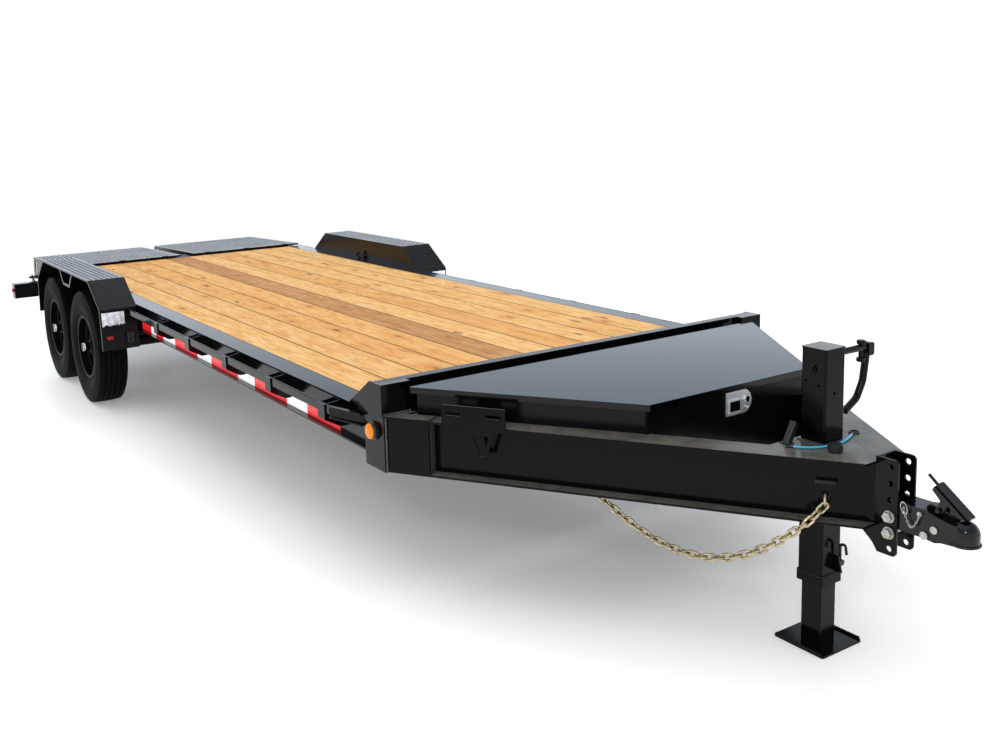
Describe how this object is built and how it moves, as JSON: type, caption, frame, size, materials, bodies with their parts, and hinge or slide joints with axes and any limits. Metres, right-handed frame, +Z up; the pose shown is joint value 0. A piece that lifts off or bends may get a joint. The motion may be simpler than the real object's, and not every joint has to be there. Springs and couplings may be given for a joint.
{
  "type": "car transporter trailer",
  "caption": "Flat car transporter trailer with a timber deck, tongue toolbox, ball coupler, drop-leg jack, tandem wheels under steel fenders and fold-over rear ramps.",
  "frame": {"origin": "on the ground under the middle of the overall length and width", "axes": "+X forward to the coupler, +Y to the trailer's left, +Z up"},
  "size_m": [8.269, 2.59, 1.057],
  "materials": {
    "black_steel": "gloss black paint",
    "tread_steel": "gloss black paint on tread plate",
    "timber": "bare softwood boards",
    "tyre": "matte",
    "wheel_paint": "gloss black",
    "zinc": "zinc plated",
    "stainless": "stainless sheet",
    "cast_black": "black painted casting",
    "amber_lens": "amber lens",
    "red_lens": "red lens",
    "gold_chain": "yellow zinc plated",
    "blue_cable": "plastic covered cable",
    "black_plastic": "matte"
  },
  "bodies": {
    "frame": {"axles": "black_steel", "breakaway_cable": "blue_cable", "breakaway_switch": "black_plastic", "bumper": "black_steel", "coupler": "cast_black", "coupler_bracket": "black_steel", "coupler_hardware": "zinc", "crossmembers": "black_steel", "deck_boards": "timber", "fender_left": "tread_steel", "fender_right": "tread_steel", "front_header": "black_steel", "jack_crank": "black_steel", "jack_housing": "black_steel", "jack_pull_pin": "black_steel", "knees": "black_steel", "leaf_springs": "black_steel", "main_rail_left": "black_steel", "main_rail_right": "black_steel", "marker_lights": "amber_lens", "nose_plate": "black_steel", "rub_rail_left": "black_steel", "rub_rail_right": "black_steel", "safety_chains": "gold_chain", "slotted_plate": "black_steel", "spring_hangers": "black_steel", "stake_pockets": "black_steel", "tail_lights": "red_lens", "tail_rails": "black_steel", "tongue_beam_left": "black_steel", "tongue_beam_right": "black_steel", "toolbox": "black_steel", "toolbox_latch": "stainless"},
    "wheel_assembly_front_left": {"tyre_front_left": "tyre", "wheel_front_left": "wheel_paint"},
    "wheel_assembly_front_right": {"tyre_front_right": "tyre", "wheel_front_right": "wheel_paint"},
    "wheel_assembly_rear_left": {"tyre_rear_left": "tyre", "wheel_rear_left": "wheel_paint"},
    "wheel_assembly_rear_right": {"tyre_rear_right": "tyre", "wheel_rear_right": "wheel_paint"},
    "lid": {"toolbox_lid": "tread_steel"},
    "ramp_body_left": {"ramp_left": "tread_steel"},
    "ramp_body_right": {"ramp_right": "tread_steel"},
    "jack_foot": {"jack_leg": "black_steel"}
  },
  "joints": [
    {"name": "wheel_spin_front_left", "type": "hinge", "parent": "frame", "child": "wheel_assembly_front_left", "pos_m": [-1.4305, 1.179, 0.385], "axis": [0, 1, 0], "continuous": true},
    {"name": "wheel_spin_front_right", "type": "hinge", "parent": "frame", "child": "wheel_assembly_front_right", "pos_m": [-1.4305, -1.179, 0.385], "axis": [0, 1, 0], "continuous": true},
    {"name": "wheel_spin_rear_left", "type": "hinge", "parent": "frame", "child": "wheel_assembly_rear_left", "pos_m": [-2.2905, 1.179, 0.385], "axis": [0, 1, 0], "continuous": true},
    {"name": "wheel_spin_rear_right", "type": "hinge", "parent": "frame", "child": "wheel_assembly_rear_right", "pos_m": [-2.2905, -1.179, 0.385], "axis": [0, 1, 0], "continuous": true},
    {"name": "toolbox_lid_hinge", "type": "hinge", "parent": "frame", "child": "lid", "pos_m": [2.4045, 0, 0.815], "axis": [0, -1, 0], "range_deg": [0, 95]},
    {"name": "ramp_hinge_left", "type": "hinge", "parent": "frame", "child": "ramp_body_left", "pos_m": [-4.1125, 0.549, 0.538], "axis": [0, -1, 0], "range_deg": [0, 196]},
    {"name": "ramp_hinge_right", "type": "hinge", "parent": "frame", "child": "ramp_body_right", "pos_m": [-4.1125, -0.549, 0.538], "axis": [0, -1, 0], "range_deg": [0, 196]},
    {"name": "jack_leg_slide", "type": "slide", "parent": "frame", "child": "jack_foot", "axis": [0, 0, 1], "range_m": [0, 0.16]}
  ]
}
